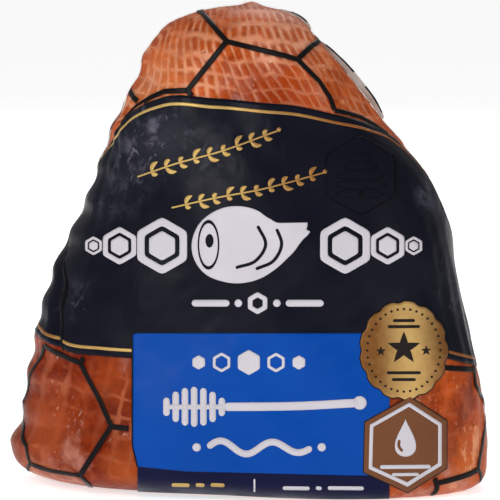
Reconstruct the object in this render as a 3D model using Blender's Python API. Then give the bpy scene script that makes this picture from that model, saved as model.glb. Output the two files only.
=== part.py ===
"""A half leg of ham in a clear printed film, shrunk tight by vacuum.

It stands upright on its broad foot, as on a shelf. The ham fills the film, so the pack is one solid:
a closed skin that starts as a sphere and takes the outline of a tapering leg, with the bulges of the
meat, the pleat at the left, the flat fold of loose film on the right shoulder and the seal on the crown.
"""

import math

import bpy
import numpy as np

MM = 0.001

# The level sections, in millimetres: height above the foot, then how far the film reaches to the
# left, the right, the front and the back of the upright axis.
SECTIONS = np.array([
    (0.0, 123.0, 119.5, 69.5, 68.5),
    (24.0, 117.0, 118.0, 70.5, 69.5),
    (54.0, 110.0, 116.0, 69.5, 67.5),
    (94.0, 99.5, 106.5, 65.5, 63.5),
    (134.0, 84.0, 99.5, 60.5, 57.5),
    (155.0, 76.0, 89.0, 56.5, 53.5),
    (182.0, 68.5, 66.0, 49.5, 46.5),
    (210.0, 53.0, 46.5, 42.5, 40.5),
    (224.0, 47.5, 37.5, 39.5, 37.5),
    (240.0, 42.0, 39.0, 37.5, 35.5),
]) * MM
HEIGHT = 0.240
CROWN_SPRING = 0.210
CROWN_POWER = 3.0
SECTION_POWER = 2.3
LEAN = 0.10

# The foot's rounded rim: how far in it runs and how high it rises, at the right and at the left.
RIM_RUN = (0.012, 0.047)
RIM_RISE = (0.010, 0.016)

# Bulges of the meat: depth, waves round the pack, waves in its height, and where the waves start.
# They fade out just above the foot.
BULGE_FADE = 0.020
BULGES = (
    (0.0012, 3, 1.6, 0.6),
    (0.0008, 5, -2.7, 2.1),
    (0.0005, 9, 4.5, 4.0),
)

# Ripples of the shrunk film down the left side.
RIPPLE_DEPTH = 0.0008
RIPPLE_PITCH = 0.0175
RIPPLE_TURN = math.pi
RIPPLE_SPREAD = 0.45

# Single lumps: turn, height and depth, then how far each spreads in turn and in height.
LUMPS = (
    (math.pi, 0.0200, 0.0034, 0.40, 0.0085),
    (0.0, 0.1740, 0.0012, 0.25, 0.0060),
)

# The pleat at the left front: a narrow groove, with the film full on its outer side.
PLEAT_TURN = math.radians(-161.0)
PLEAT_HEIGHTS = (0.066, 0.118)
PLEAT_END = 0.012
PLEAT_DEPTH = 0.0016
PLEAT_HALF_WIDTH = 0.0022
PLEAT_REACH = 0.100
FULLNESS = 0.0014
FULLNESS_BAND = (0.0011, 0.045)
FULLNESS_EDGE = 0.006

# The flat fold of loose film on the right shoulder: middle height, half length and how proud it
# stands, for the long wing and for the small ear above it.
FOLD_HALF_WIDTH = 0.0022
FOLD_REACH = 0.055
FOLD_LOBES = (
    (0.2065, 0.0230, 0.0042),
    (0.2365, 0.0045, 0.0020),
)

# The small peak where the seal crosses the crown.
PEAK_PLACE = (0.0022, -0.002)
PEAK_RISE = 0.0020
PEAK_RADIUS = 0.0045

# The grid of the skin. Its columns lie close at the pleat and the fold, and the even ones keep
# clear of these by a share of their half width.
COLUMN_CLEARANCE = 1.4
EVEN_COLUMNS = 92
RINGS = 52
FOOT_RINGS = 3
RIM_RINGS = 5
CROWN_RINGS = 8
FINE_STEPS = (-1.0, -0.5, 0.0, 0.5, 1.0)

RIND_COLOUR = (0.33, 0.085, 0.030, 1.0)


def clear_scene():
    """Start from an empty scene."""
    for item in list(bpy.data.objects):
        bpy.data.objects.remove(item, do_unlink=True)


def smooth_through(places, values, at):
    """A cubic curve through the values, whose slope at each place is that of its neighbours."""
    slopes = np.gradient(values, places)
    first = np.clip(np.searchsorted(places, at) - 1, 0, len(places) - 2)
    span = places[first + 1] - places[first]
    share = (at - places[first]) / span
    rest = 1.0 - share
    start = (values[first] * (1.0 + 2.0 * share) + slopes[first] * span * share) * rest ** 2
    end = (values[first + 1] * (1.0 + 2.0 * rest) - slopes[first + 1] * span * rest) * share ** 2
    return start + end


def angle_from(turn, middle):
    """The signed angle from a middle direction, between -pi and pi."""
    return (turn - middle + math.pi) % (2.0 * math.pi) - math.pi


def soft_window(at, low, high, edge):
    """1 between two places and 0 outside, with soft edges of the given width."""
    opening = np.clip((at - low) / edge, 0.0, 1.0)
    closing = np.clip((high - at) / edge, 0.0, 1.0)
    share = opening * closing
    return share ** 2 * (3.0 - 2.0 * share)


def rim_size(turn, sizes):
    """A size of the rim, which changes evenly from its right value to its left one."""
    right, left = sizes
    return 0.5 * (right + left) + 0.5 * (right - left) * np.cos(turn)


def rim_inset(turn, height):
    """How far the rounded rim lies inside the upright wall, by a quarter of an ellipse."""
    drop = np.clip(1.0 - height / rim_size(turn, RIM_RISE), 0.0, 1.0)
    return rim_size(turn, RIM_RUN) * (1.0 - np.sqrt(1.0 - drop ** 2))


def bulges(turn, height, reach):
    """How far the meat and the film's folds push the skin out at a place."""
    fade = np.clip(height / BULGE_FADE, 0.0, 1.0)
    total = np.zeros_like(turn)
    for depth, round_waves, high_waves, start in BULGES:
        total += depth * np.sin(round_waves * turn + high_waves * 2.0 * math.pi * height / HEIGHT + start)
    side = np.exp(-(angle_from(turn, RIPPLE_TURN) / RIPPLE_SPREAD) ** 2)
    total += RIPPLE_DEPTH * side * np.sin(2.0 * math.pi * height / RIPPLE_PITCH)
    for middle, place, depth, round_spread, high_spread in LUMPS:
        away = (angle_from(turn, middle) / round_spread) ** 2 + ((height - place) / high_spread) ** 2
        total += depth * np.exp(-away)
    across = angle_from(turn, PLEAT_TURN) * reach
    along = soft_window(height, *PLEAT_HEIGHTS, PLEAT_END)
    total -= PLEAT_DEPTH * along * np.clip(1.0 - np.abs(across) / PLEAT_HALF_WIDTH, 0.0, 1.0)
    total += FULLNESS * along * soft_window(-across, *FULLNESS_BAND, FULLNESS_EDGE)
    return total * fade


def loose_fold(turn, height, reach):
    """How proud the fold of loose film stands on the right shoulder: a sharp ridge in two lobes."""
    ridge = np.clip(1.0 - np.abs(angle_from(turn, 0.0)) * reach / FOLD_HALF_WIDTH, 0.0, 1.0)
    proud = np.zeros_like(turn)
    for middle, half_length, rise in FOLD_LOBES:
        lobe = np.clip(1.0 - ((height - middle) / half_length) ** 2, 0.0, 1.0)
        proud += rise * np.sqrt(lobe)
    return ridge * proud


def skin(turn, height):
    """Points of the film for turns about the axis (0 at the right, the front at -pi/2) and heights.

    Each level section is a rounded box in polar form, the root of powers of its two half sizes. It
    closes over the crown and rounds in at the rim, and the bulges and folds are added to its radius.
    """
    left, right, front, back = (smooth_through(SECTIONS[:, 0], SECTIONS[:, k], height)
                                for k in range(1, 5))
    above = np.clip((height - CROWN_SPRING) / (HEIGHT - CROWN_SPRING), 0.0, 1.0)
    closing = np.sqrt(np.clip(1.0 - above ** CROWN_POWER, 1e-8, 1.0))
    half_width = 0.5 * (left + right) * closing
    half_depth = 0.5 * (front + back) * closing
    along = np.abs(np.cos(turn)) / half_width
    deep = np.abs(np.sin(turn)) / half_depth
    reach = (along ** SECTION_POWER + deep ** SECTION_POWER) ** (-1.0 / SECTION_POWER)
    radius = reach - rim_inset(turn, height)
    radius += closing * bulges(turn, height, reach) + loose_fold(turn, height, reach)
    across = 0.5 * (right - left) + radius * np.cos(turn)
    depth = 0.5 * (back - front) + radius * np.sin(turn) - LEAN * across
    from_peak = np.hypot(across - PEAK_PLACE[0], depth - PEAK_PLACE[1])
    peak = PEAK_RISE * np.exp(-(from_peak / PEAK_RADIUS) ** 2) * (above > 0.5)
    return np.stack([across, depth, height + peak], axis=-1)


def column_turns():
    """The turns of the skin's columns: evenly round the pack, and closer at the pleat and the fold."""
    even = np.linspace(-math.pi, math.pi, EVEN_COLUMNS, endpoint=False)
    fine = []
    narrow = ((PLEAT_TURN, PLEAT_HALF_WIDTH / PLEAT_REACH), (0.0, FOLD_HALF_WIDTH / FOLD_REACH))
    for middle, half_angle in narrow:
        even = even[np.abs(angle_from(even, middle)) > COLUMN_CLEARANCE * half_angle]
        fine.append(middle + np.array(FINE_STEPS) * half_angle)
    return np.sort(np.concatenate([even] + fine))


def ring_points(ring, turns):
    """Points of one ring, from the foot's centre at ring 0 over the rim and the sides to the crown."""
    rise = rim_size(turns, RIM_RISE)
    if ring <= FOOT_RINGS:
        edge = skin(turns, np.zeros_like(turns))
        middle = edge.mean(axis=0)
        return middle + (edge - middle) * ring / FOOT_RINGS
    if ring <= FOOT_RINGS + RIM_RINGS:
        swing = 0.5 * math.pi * (ring - FOOT_RINGS) / RIM_RINGS
        return skin(turns, rise * (1.0 - math.cos(swing)))
    if ring <= RINGS - CROWN_RINGS:
        side = (ring - FOOT_RINGS - RIM_RINGS) / (RINGS - FOOT_RINGS - RIM_RINGS - CROWN_RINGS)
        return skin(turns, rise + (CROWN_SPRING - rise) * side)
    swing = 0.5 * math.pi * (ring - RINGS + CROWN_RINGS) / CROWN_RINGS
    height = CROWN_SPRING + (HEIGHT - CROWN_SPRING) * math.sin(swing)
    return skin(turns, np.full_like(turns, height))


def rind_material():
    """Cooked ham rind under glossy clear film."""
    material = bpy.data.materials.new("ham_under_film")
    material.use_nodes = True
    shader = material.node_tree.nodes["Principled BSDF"]
    shader.inputs["Base Color"].default_value = RIND_COLOUR
    shader.inputs["Roughness"].default_value = 0.3
    shader.inputs["Metallic"].default_value = 0.0
    return material


def make_pack(collection):
    """The pack: a sphere whose rings and columns are moved onto the film."""
    turns = column_turns()
    bpy.ops.mesh.primitive_uv_sphere_add(segments=len(turns), ring_count=RINGS, radius=1.0)
    pack = bpy.context.active_object
    pack.name = "vacuum_packed_ham"
    mesh = pack.data
    mesh.name = "vacuum_packed_ham"
    points = np.empty(len(mesh.vertices) * 3)
    mesh.vertices.foreach_get("co", points)
    points = points.reshape(-1, 3)
    rings = np.rint(np.arccos(np.clip(-points[:, 2], -1.0, 1.0)) / math.pi * RINGS).astype(int)
    longitude = np.arctan2(points[:, 1], points[:, 0]) / (2.0 * math.pi)
    columns = np.rint(longitude * len(turns)).astype(int) % len(turns)
    half = len(turns) // 2
    for ring in range(RINGS + 1):
        chosen = rings == ring
        points[chosen] = ring_points(ring, turns)[(columns[chosen] + half) % len(turns)]
    mesh.vertices.foreach_set("co", points.ravel())
    mesh.update()
    mesh.shade_smooth()
    mesh.materials.append(rind_material())
    for owner in list(pack.users_collection):
        owner.objects.unlink(pack)
    collection.objects.link(pack)
    return pack


clear_scene()
pack_collection = bpy.data.collections.new("vacuum_packed_ham")
bpy.context.scene.collection.children.link(pack_collection)
make_pack(pack_collection)
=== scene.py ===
"""Half leg ham in clear printed film that is shrunk on it by vacuum, standing on its broad foot."""
from math import ceil, cos, dist, pi, radians, sin, tau

import bpy
import numpy as np
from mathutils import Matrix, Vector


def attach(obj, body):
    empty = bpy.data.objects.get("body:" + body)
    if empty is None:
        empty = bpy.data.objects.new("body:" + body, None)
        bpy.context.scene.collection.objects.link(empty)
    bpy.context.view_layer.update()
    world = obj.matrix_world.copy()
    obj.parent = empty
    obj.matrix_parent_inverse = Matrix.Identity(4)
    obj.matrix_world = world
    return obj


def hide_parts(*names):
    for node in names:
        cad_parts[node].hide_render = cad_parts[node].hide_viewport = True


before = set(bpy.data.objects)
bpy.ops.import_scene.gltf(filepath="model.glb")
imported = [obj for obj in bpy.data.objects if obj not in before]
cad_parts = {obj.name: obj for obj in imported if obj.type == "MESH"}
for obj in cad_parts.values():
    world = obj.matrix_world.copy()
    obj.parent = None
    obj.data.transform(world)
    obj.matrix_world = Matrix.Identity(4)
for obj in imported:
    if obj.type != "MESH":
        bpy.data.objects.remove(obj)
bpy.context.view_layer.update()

MM = 0.001


# The view: the pack seen square on from a little above its middle, two metres away with a long lens.
# The print of the front is laid out flat in the plane of this view and then wrapped on the film.

VIEW_AIM = np.array([0.00115, 0, 0.1174])
VIEW_AWAY = 2
VIEW_RISE = radians(5)
VIEW_WIDTH = 0.25

camera_data = bpy.data.cameras.new("camera")
camera_data.sensor_width = 36
camera_data.lens = 36 * VIEW_AWAY / VIEW_WIDTH
camera = bpy.data.objects.new("camera", camera_data)
camera.location = VIEW_AIM + VIEW_AWAY * np.array([0, -cos(VIEW_RISE), sin(VIEW_RISE)])
camera.rotation_euler = (pi / 2 - VIEW_RISE, 0, 0)
bpy.context.collection.objects.link(camera)
bpy.context.scene.camera = camera


def seen(points):
    """Where points show in the view's plane through the aim, as metres to the right and up: the offset
    from the aim along the view's own right and up, times the distance over the depth."""
    offset = points - VIEW_AIM
    up = offset[..., 1] * sin(VIEW_RISE) + offset[..., 2] * cos(VIEW_RISE)
    depth = VIEW_AWAY + offset[..., 1] * cos(VIEW_RISE) - offset[..., 2] * sin(VIEW_RISE)
    plane = np.stack([offset[..., 0], up], axis=-1)
    return plane * (VIEW_AWAY / depth)[..., None] + VIEW_AIM[[0, 2]]


# The ham: a cured and smoked half leg, cut flat at its broad end, with orange-brown rind. It was
# smoked in a net, which left pale lines and low cushions all over it. The film gives it its form.

HEIGHT = 0.24
FOOT_ROUNDING = 0.016
CROWN_SPRING = 0.21
CROWN_RISE = HEIGHT - CROWN_SPRING
LOWEST = FOOT_ROUNDING * (1 - pi / 2)
HIGHEST = CROWN_SPRING + CROWN_RISE * pi / 2
SECTIONS = MM * np.array([    # height, then the reach to the left, right, front and back
    (0, 123, 119.5, 69.5, 68.5),
    (24, 117, 118, 70.5, 69.5),
    (54, 110, 116, 69.5, 67.5),
    (94, 99.5, 106.5, 65.5, 63.5),
    (134, 84, 99.5, 60.5, 57.5),
    (155, 76, 89, 56.5, 53.5),
    (182, 68.5, 66, 49.5, 46.5),
    (210, 53, 46.5, 42.5, 40.5),
    (224, 47.5, 37.5, 39.5, 37.5),
    (240, 42, 39, 37.5, 35.5),
])
ROUND_SLACK = ((0.0012, 3, 1.6, 0.6), (0.0008, 5, -2.7, 2.1), (0.0005, 9, 4.5, 4))
SIDE_LUMPS = ((pi, 0.02, 0.0034, 0.4, 0.0085), (0, 0.174, 0.0012, 0.25, 0.006))
PLEAT = np.array([    # height in millimetres, then the angle round the pack in degrees
    (66, -155.5), (80, -159.5), (93, -162.8), (108, -169.5), (120, -178),
])
NET_PITCH_ROUND = 0.0046
NET_PITCH_LOW = 0.01
NET_PITCH_HIGH = 0.0068
NET_PITCH_CROWN = 0.0105
HAM_DEPTH = 0.0004


def smooth_through(places, values, at):
    """A smooth curve through values at places: a cubic between each two, with the slope at each place
    that its neighbours give."""
    slopes = np.gradient(values, places)
    first = np.clip(np.searchsorted(places, at) - 1, 0, len(places) - 2)
    span = places[first + 1] - places[first]
    share = (at - places[first]) / span
    rest = 1 - share
    start = (values[first] * (1 + 2 * share) + slopes[first] * span * share) * rest ** 2
    end = (values[first + 1] * (1 + 2 * rest) - slopes[first + 1] * span * rest) * share ** 2
    return start + end


def turned_from(turn, middle):
    """The angle from middle to turn, between minus and plus half a turn."""
    return (turn - middle + pi) % tau - pi


def window(at, low, high, edge):
    """One between low and high, nothing outside them, with smooth slopes of the given width."""
    share = np.clip((at - low) / edge, 0, 1) * np.clip((high - at) / edge, 0, 1)
    return share ** 2 * (3 - 2 * share)


def height_at(level):
    """The height of a level, which is the same on the side, but runs round the quarter circles of the
    foot and of the crown."""
    foot = FOOT_ROUNDING * (1 - np.cos(pi / 2 + (level - FOOT_ROUNDING) / FOOT_ROUNDING))
    crown = CROWN_SPRING + CROWN_RISE * np.sin((level - CROWN_SPRING) / CROWN_RISE)
    return np.where(level < FOOT_ROUNDING, foot, np.where(level > CROWN_SPRING, crown, level))


def level_at(height):
    """The level of a height, the other way round."""
    low = np.arccos(np.clip(1 - height / FOOT_ROUNDING, -1, 1)) - pi / 2
    high = np.arcsin(np.clip((height - CROWN_SPRING) / CROWN_RISE, 0, 1))
    side = np.where(height > CROWN_SPRING, CROWN_SPRING + CROWN_RISE * high, height)
    return np.where(height < FOOT_ROUNDING, FOOT_ROUNDING * (1 + low), side)


def reaches(height):
    """How far the oval reaches to the left, right, front and back at a height."""
    return [smooth_through(SECTIONS[:, 0], SECTIONS[:, k], height) for k in range(1, 5)]


def left_over(height):
    """The share of the oval's size that is left at a height: one up to the crown's spring, and above it
    the root of one less the cube of the share of the rise."""
    above = np.clip((height - CROWN_SPRING) / CROWN_RISE, 0, 1)
    return np.sqrt(np.clip(1 - above ** 3, 1e-9, 1))


def pleat_at(height):
    """The angle at which the pleat stands at a height, through its measured points."""
    inside = np.clip(height / MM, PLEAT[0, 0], PLEAT[-1, 0])
    return np.radians(smooth_through(PLEAT[:, 0], PLEAT[:, 1], inside))


def slack(turn, height):
    """How far the film stands out from the plain oval: low waves round it, ripples up the left side,
    two lumps, and the groove of a pleat with the fullness beside it. All of it fades at the foot."""
    total = np.zeros(np.broadcast(turn, height).shape)
    for depth, round_waves, high_waves, start in ROUND_SLACK:
        total += depth * np.sin(round_waves * turn + high_waves * tau * height / HEIGHT + start)
    side = np.exp(-(turned_from(turn, pi) / 0.45) ** 2)
    total += 0.0008 * side * np.sin(tau * height / 0.0175)
    for middle, place, depth, round_spread, high_spread in SIDE_LUMPS:
        away = (turned_from(turn, middle) / round_spread) ** 2 + ((height - place) / high_spread) ** 2
        total += depth * np.exp(-away)
    across = turned_from(turn, pleat_at(height)) * 0.1
    along = window(height, 0.066, 0.124, 0.012)
    total -= 0.0018 * along * np.clip(1 - np.abs(across) / 0.0024, 0, 1)
    total += 0.0016 * along * window(-across, 0.0011, 0.045, 0.006)
    return total * np.clip(height / 0.02, 0, 1)


def crinkles(turn, height):
    """The small folds of shrunk film: oblique waves whose lines wander, and upright folds on the two
    flanks, where the film had to take up most of its width."""
    wander = 0.8 * np.sin(31 * height + 2 * turn) + 0.6 * np.sin(5 * turn - 57 * height)
    total = 0.00006 * np.sin(23 * turn + 260 * height + 1.7 * wander)
    total += 0.00005 * np.sin(-31 * turn + 330 * height + 2.3 * wander + 1.1)
    total += 0.00005 * np.sin(14 * turn - 470 * height - 2.9 * wander + 0.4)
    right = np.exp(-(turned_from(turn, radians(-12)) / 0.3) ** 2)
    left = np.exp(-(turned_from(turn, radians(-160)) / 0.2) ** 2)
    back = np.exp(-(turned_from(turn, radians(150)) / 0.25) ** 2)
    fold = np.sin(58 * turn + 1.6 * np.sin(38 * height + 1) + 0.9 * wander)
    patch = 0.55 + 0.45 * np.sin(47 * height + 9 * turn)
    total += 0.0003 * (right + left + 0.7 * back) * patch * fold
    return total * np.clip(height / 0.02, 0, 1)


def film(turn, level):
    """The outside of the film. At each height it is a squarish oval of power 2.3 with unlike reaches to
    the four sides, drawn in towards the foot by a quarter oval and closed by a crown of power 3, with
    the slack and the crinkles on it, leaning forward a tenth as it goes right, and a small tip."""
    height = height_at(level)
    left, right, front, back = reaches(height)
    closing = left_over(height)
    along = np.abs(np.cos(turn)) / (0.5 * (left + right) * closing)
    deep = np.abs(np.sin(turn)) / (0.5 * (front + back) * closing)
    reach = (along ** 2.3 + deep ** 2.3) ** (-1 / 2.3)
    run = 0.0295 - 0.0175 * np.cos(turn)
    rise = 0.013 - 0.003 * np.cos(turn)
    drop = np.clip(1 - height / rise, 0, 1)
    radius = reach - run * (1 - np.sqrt(1 - drop ** 2))
    radius = radius + closing * (slack(turn, height) + crinkles(turn, height))
    across = 0.5 * (right - left) + radius * np.cos(turn)
    depth = 0.5 * (back - front) + radius * np.sin(turn) - 0.1 * across
    tip = 0.002 * np.exp(-(np.hypot(across - 0.0022, depth + 0.002) / 0.0045) ** 2)
    tip = tip * (height > CROWN_SPRING + 0.5 * CROWN_RISE)
    return np.stack([across, depth, height + tip], axis=-1)


def slopes(turn, level):
    """How the film's point moves for each radian round and each metre of level, from near points."""
    low = np.maximum(level - 1e-4, LOWEST + 1e-6)
    high = np.minimum(level + 1e-4, HIGHEST - 1e-4)
    low = np.minimum(low, high - 1e-4)
    round_slope = (film(turn + 1e-3, level) - film(turn - 1e-3, level)) / 2e-3
    high_slope = (film(turn, high) - film(turn, low)) / (high - low)[..., None]
    return round_slope, high_slope


def unit(vectors):
    """The same directions with a length of one."""
    return vectors / np.maximum(np.linalg.norm(vectors, axis=-1, keepdims=True), 1e-12)


def on_film(turn, level, lift):
    """The film's point moved outward by lift, along the cross product of the slopes round and up."""
    turn, level, lift = np.broadcast_arrays(turn, level, lift)
    round_slope, high_slope = slopes(turn, level)
    return film(turn, level) + lift[..., None] * unit(np.cross(round_slope, high_slope))


def corners_of(grid):
    """The four corners of every face of a grid, from the lower left one to the right and round."""
    return np.stack([grid[:-1, :-1], grid[:-1, 1:], grid[1:, 1:], grid[1:, :-1]], axis=2)


def patch_of(points, around=False, high=None, low=None, pattern=None):
    """Four-sided faces on a grid of points whose rows go up and whose columns go right as seen from
    outside. Around joins the last column to the first, high and low are points that close the last and
    the first row with a fan, and pattern gives the points' places in the pattern."""
    rows, columns = points.shape[:2]
    place = np.arange(rows * columns).reshape(rows, columns)
    wide = np.concatenate([place, place[:, :1]], axis=1) if around else place
    vertices = [points.reshape(-1, 3)]
    faces = [corners_of(wide).reshape(-1, 4)]
    places = [] if pattern is None else [corners_of(pattern).reshape(-1, 2)]
    for pole, row, way in ((high, -1, 1), (low, 0, -1)):
        if pole is None:
            continue
        ring = wide[row, ::way]
        tip = np.full(len(ring) - 1, rows * columns + len(faces) - 1)
        faces.append(np.stack([ring[:-1], ring[1:], tip], axis=-1))
        vertices.append(np.reshape(pole, (1, 3)))
        if places:
            ring = pattern[row, ::way]
            tip = 0.5 * (ring[:-1] + ring[1:]) + (0, 0.5 * way)
            places.append(np.stack([ring[:-1], ring[1:], tip], axis=1).reshape(-1, 2))
    return np.concatenate(vertices), faces, np.concatenate(places) if places else None


def make_piece(name, patches, look, thickness=0):
    """One object from one or more patches. It gets a smooth finish and its look, rides on the body,
    and may get a thickness inward, which closes an open patch."""
    points = np.concatenate([patch[0] for patch in patches])
    starts = np.cumsum([0] + [len(patch[0]) for patch in patches])
    blocks = [block + start for patch, start in zip(patches, starts) for block in patch[1]]
    sizes = np.concatenate([np.full(len(block), block.shape[1]) for block in blocks])
    corners = np.concatenate([block.ravel() for block in blocks])
    mesh = bpy.data.meshes.new(name)
    mesh.vertices.add(len(points))
    mesh.vertices.foreach_set("co", points.astype(np.float32).ravel())
    mesh.loops.add(len(corners))
    mesh.loops.foreach_set("vertex_index", corners.astype(np.int32))
    mesh.polygons.add(len(sizes))
    mesh.polygons.foreach_set("loop_start", (np.cumsum(sizes) - sizes).astype(np.int32))
    mesh.update(calc_edges=True)
    if patches[0][2] is not None:
        layer = mesh.uv_layers.new(name="pattern")
        layer.data.foreach_set("uv", patches[0][2].astype(np.float32).ravel())
    mesh.validate()
    mesh.shade_smooth()
    mesh.materials.append(look.material)
    piece = bpy.data.objects.new(name, mesh)
    bpy.context.collection.objects.link(piece)
    if thickness:
        wall = piece.modifiers.new("wall", "SOLIDIFY")
        wall.thickness = thickness
        wall.offset = -1
    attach(piece, "root")
    return piece


def colour(red, green, blue):
    """A screen colour of 0 to 255 as the linear colour that a shader takes."""
    screen = np.array([red, green, blue]) / 255
    linear = np.where(screen <= 0.04045, screen / 12.92, ((screen + 0.055) / 1.055) ** 2.4)
    return (*linear, 1)


class Look:
    """A material with one Principled shader, whose own sockets hold the given values, and the nodes
    that drive it. Place is the object's own coordinates."""

    def __init__(self, name, **values):
        self.material = bpy.data.materials.new(name)
        self.material.use_nodes = True
        self.tree = self.material.node_tree
        self.shader = self.tree.nodes["Principled BSDF"]
        for socket, value in values.items():
            self.shader.inputs[socket.replace("_", " ")].default_value = value
        self.place = self.node("TexCoord", {})["Object"]

    def node(self, kind, inputs, **settings):
        """The outputs of a new node. Each input is a value or another node's output."""
        node = self.tree.nodes.new("ShaderNode" + kind)
        for key, value in settings.items():
            setattr(node, key, value)
        for key, value in inputs.items():
            if isinstance(value, bpy.types.NodeSocket):
                self.tree.links.new(value, node.inputs[key])
            else:
                node.inputs[key].default_value = value
        return node.outputs

    def math(self, operation, *inputs, clamp=False):
        """One value worked out from others."""
        return self.node("Math", dict(enumerate(inputs)), operation=operation, use_clamp=clamp)[0]

    def times(self, product, *factors):
        """The product of values."""
        for factor in factors:
            product = self.math("MULTIPLY", product, factor)
        return product

    def stepped(self, value, low, high, to_low=0, to_high=1):
        """A value mapped smoothly from one range to another."""
        ends = {"Value": value, "From Min": low, "From Max": high, "To Min": to_low, "To Max": to_high}
        return self.node("MapRange", ends, interpolation_type="SMOOTHSTEP")[0]

    def mixed(self, share, *tones):
        """The mix by a share of two colours, each an output or three numbers."""
        one, two = (colour(*tone) if isinstance(tone, tuple) else tone for tone in tones)
        return self.node("Mix", {0: share, 6: one, 7: two}, data_type="RGBA")[2]

    def noise(self, scale, detail=2, roughness=0.5, place=None):
        """The outputs of soft noise of a scale."""
        place = place or self.place
        ends = {"Vector": place, "Scale": scale, "Detail": detail, "Roughness": roughness}
        return self.node("TexNoise", ends)

    def cloud(self, *noise):
        """One value of soft noise."""
        return self.noise(*noise)["Fac"]

    def shaken(self, place, amount, *noise):
        """A place moved to and fro by noise, by up to half of an amount."""
        move = self.noise(*noise)["Color"]
        move = self.node("VectorMath", {0: move, 1: (0.5, 0.5, 0.5)}, operation="SUBTRACT")[0]
        move = self.node("VectorMath", {0: move, "Scale": amount}, operation="SCALE")[0]
        return self.node("VectorMath", {0: place, 1: move}, operation="ADD")[0]

    def drawn(self, scale, lean=0, kind="POINT"):
        """The place, drawn out by a scale and leaned to a side."""
        ends = {"Vector": self.place, "Rotation": (0, lean, 0), "Scale": scale}
        return self.node("Mapping", ends, vector_type=kind)[0]

    def near(self, spot, low, high, most, least=0, place=None):
        """The most up to the distance low from a spot, and the least from the distance high on."""
        ends = {0: place or self.place, 1: spot}
        away = self.node("VectorMath", ends, operation="DISTANCE")["Value"]
        return self.stepped(away, low, high, most, least)

    def drive(self, socket, value):
        """The shader's own socket takes a value from a node."""
        self.tree.links.new(value, self.shader.inputs[socket])

    def bump(self, height, strength, distance, socket="Normal"):
        """The surface, or its clear coat, shows a relief."""
        ends = {"Height": height, "Strength": strength, "Distance": distance}
        self.drive(socket, self.node("Bump", ends)[0])


def net_place(turn, level):
    """Where a point of the ham lies in the net, counted in meshes. Across, each step round the oval
    counts by its run to the side, or by half its length where that is more. A point of the crown counts
    as the part of the oval beside it, and the narrowing above the oval counts half. Up, it is the level
    over the pitch, which is longer low down and on the crown. Near the top the strands lean by two bell
    curves of the place across, the rungs fall to the right, and both wander by slow waves."""
    rim_turns = np.linspace(-pi, 0, 721)
    rim = film(rim_turns, np.full(721, 0.19))
    run, depth = np.diff(rim[:, 0]), np.diff(rim[:, 1])
    counted = np.maximum(run, 0.5 * np.hypot(run, depth)) / NET_PITCH_ROUND
    counted = np.concatenate([[0], np.cumsum(counted)])
    rim_across = np.maximum.accumulate(rim[:, 0])
    width = sum(reaches(height_at(level))[:2]) / sum(reaches(0.19)[:2])
    closing = left_over(height_at(level)) * np.sqrt(np.minimum(width, 1))
    across = np.interp(-np.abs(turned_from(turn, 0)), rim_turns, rim_across)
    across = np.interp(across * closing, rim_across, counted)
    up = np.minimum(level, 0.08) / NET_PITCH_LOW + np.clip(level - 0.08, 0, 0.134) / NET_PITCH_HIGH
    up = up + np.maximum(level - 0.214, 0) / NET_PITCH_CROWN
    seen_across = film(turn, level)[..., 0]
    high = np.clip((level - 0.135) / 0.04, 0, 1)
    lean = 0.9 * np.exp(-((seen_across - 0.026) / 0.034) ** 2)
    lean = lean - 0.6 * np.exp(-((seen_across + 0.066) / 0.02) ** 2)
    fall = 0.13 * np.maximum(seen_across + 0.015, 0) / NET_PITCH_HIGH
    across = across + high * lean * (up - 27.5)
    across = across + 0.16 * np.sin(0.63 * up + 2 * turn) + 0.08 * np.sin(1.7 * up + 5 * turn)
    wander = 0.3 * np.sin(3 * turn + 0.8) + 0.1 * np.sin(8 * turn + 0.31 * up)
    return across, up + high * fall + closing * wander + 0.05 * np.sin(21 * turn + 1.1 * up)


FOOT_SHARES = np.linspace(0.1, 0.94, 7)[:, None, None]


def all_round(columns, low_rows, high_rows):
    """The angles and levels of a grid over the whole pack, with few rows behind the band."""
    levels = np.concatenate([
        np.linspace(LOWEST, 0.084, low_rows),
        np.linspace(0.0885, 0.148, 14),
        np.linspace(0.15, HIGHEST - 0.0008, high_rows),
    ])
    return np.meshgrid(np.linspace(-pi, pi, columns), levels)


def with_foot(points):
    """The middle of the lowest row of points, and the points with more rows below them, each of which
    is the lowest row drawn in towards that middle."""
    middle = points[0, :-1].mean(axis=0)
    return middle, np.concatenate([middle + FOOT_SHARES * (points[0] - middle), points])


turn_grid, level_grid = all_round(481, 78, 100)
net_across, net_up = net_place(turn_grid, level_grid)
line_across = np.abs(net_across - np.round(net_across))
line_up = np.abs(net_up - np.round(net_up))
groove = np.exp(-(line_across / 0.2) ** 2) + 0.6 * np.exp(-(line_up / 0.14) ** 2)
groove = groove * (0.35 + 0.65 * np.clip((level_grid - 0.06) / 0.1, 0, 1))
groove = groove * np.clip((0.246 - level_grid) / 0.016, 0.15, 1)
behind_band = window(level_grid, 0.08, 0.156, 0.006)
ham_lift = -HAM_DEPTH - 0.0003 * np.minimum(groove, 1) - 0.0024 * behind_band
foot_middle, ham_points = with_foot(on_film(turn_grid, level_grid, ham_lift))
foot_up = net_up[:1] - (1 - FOOT_SHARES[..., 0]) * 8
foot_across = np.repeat(net_across[:1], len(FOOT_SHARES), axis=0)
ham_pattern = np.stack([
    np.concatenate([foot_across, net_across]),
    np.concatenate([foot_up, net_up]),
], axis=-1)
crown_height = on_film(np.array([0.5]), np.array([HIGHEST - 0.0001]), np.array([-HAM_DEPTH]))[0, 2]
crown_point = np.append(ham_points[-1, :-1, :2].mean(axis=0), crown_height)

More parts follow.
